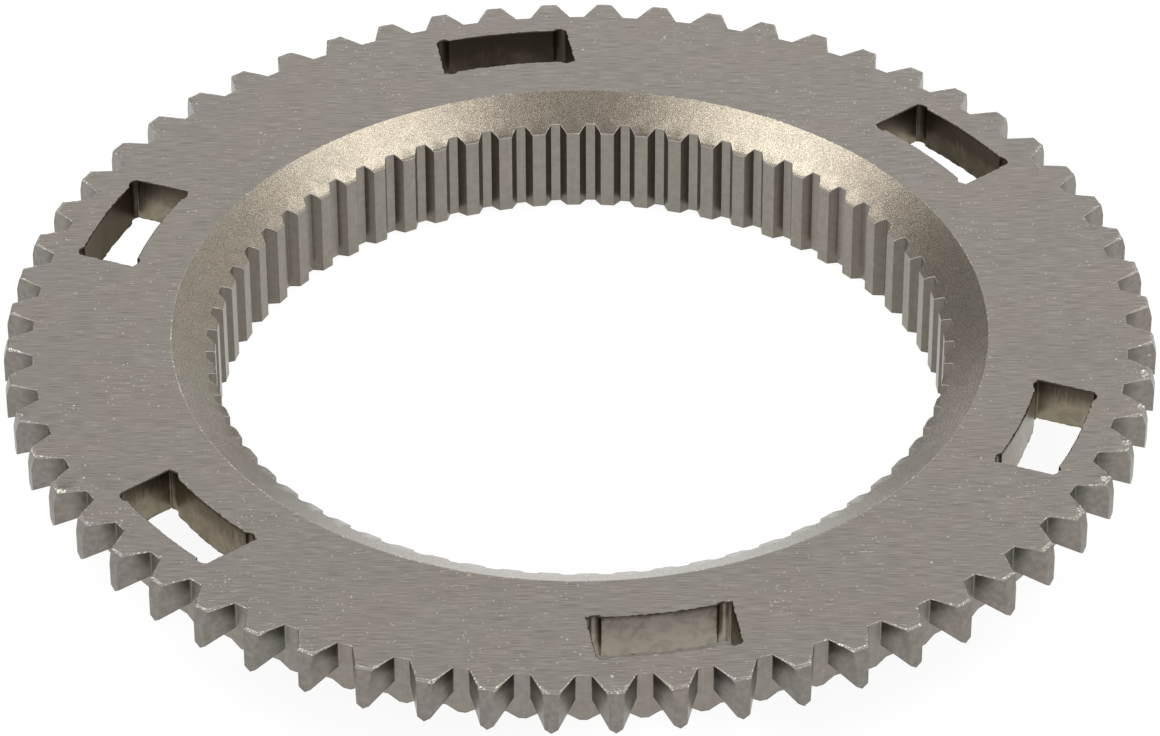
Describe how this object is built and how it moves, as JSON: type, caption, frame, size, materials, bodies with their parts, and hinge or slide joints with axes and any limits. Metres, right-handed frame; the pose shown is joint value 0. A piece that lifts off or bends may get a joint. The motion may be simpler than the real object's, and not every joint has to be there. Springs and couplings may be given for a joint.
{
  "type": "synchronizer ring",
  "caption": "Flat steel ring with pointed outer teeth, slots through its web, a conical entry and an internally splined hub.",
  "frame": {"origin": "on the ring's axis, level with the lower face of the hub", "axes": "+Z along the axis, towards the flat toothed face; +X through the middle of an outer tooth, +Y through the middle of a slot"},
  "size_m": [0.1564, 0.1564, 0.016],
  "materials": {
    "steel": "ground and tumbled bare steel, grain-blasted cone"
  },
  "bodies": {
    "root": {"synchronizer_ring": "steel"}
  },
  "joints": []
}
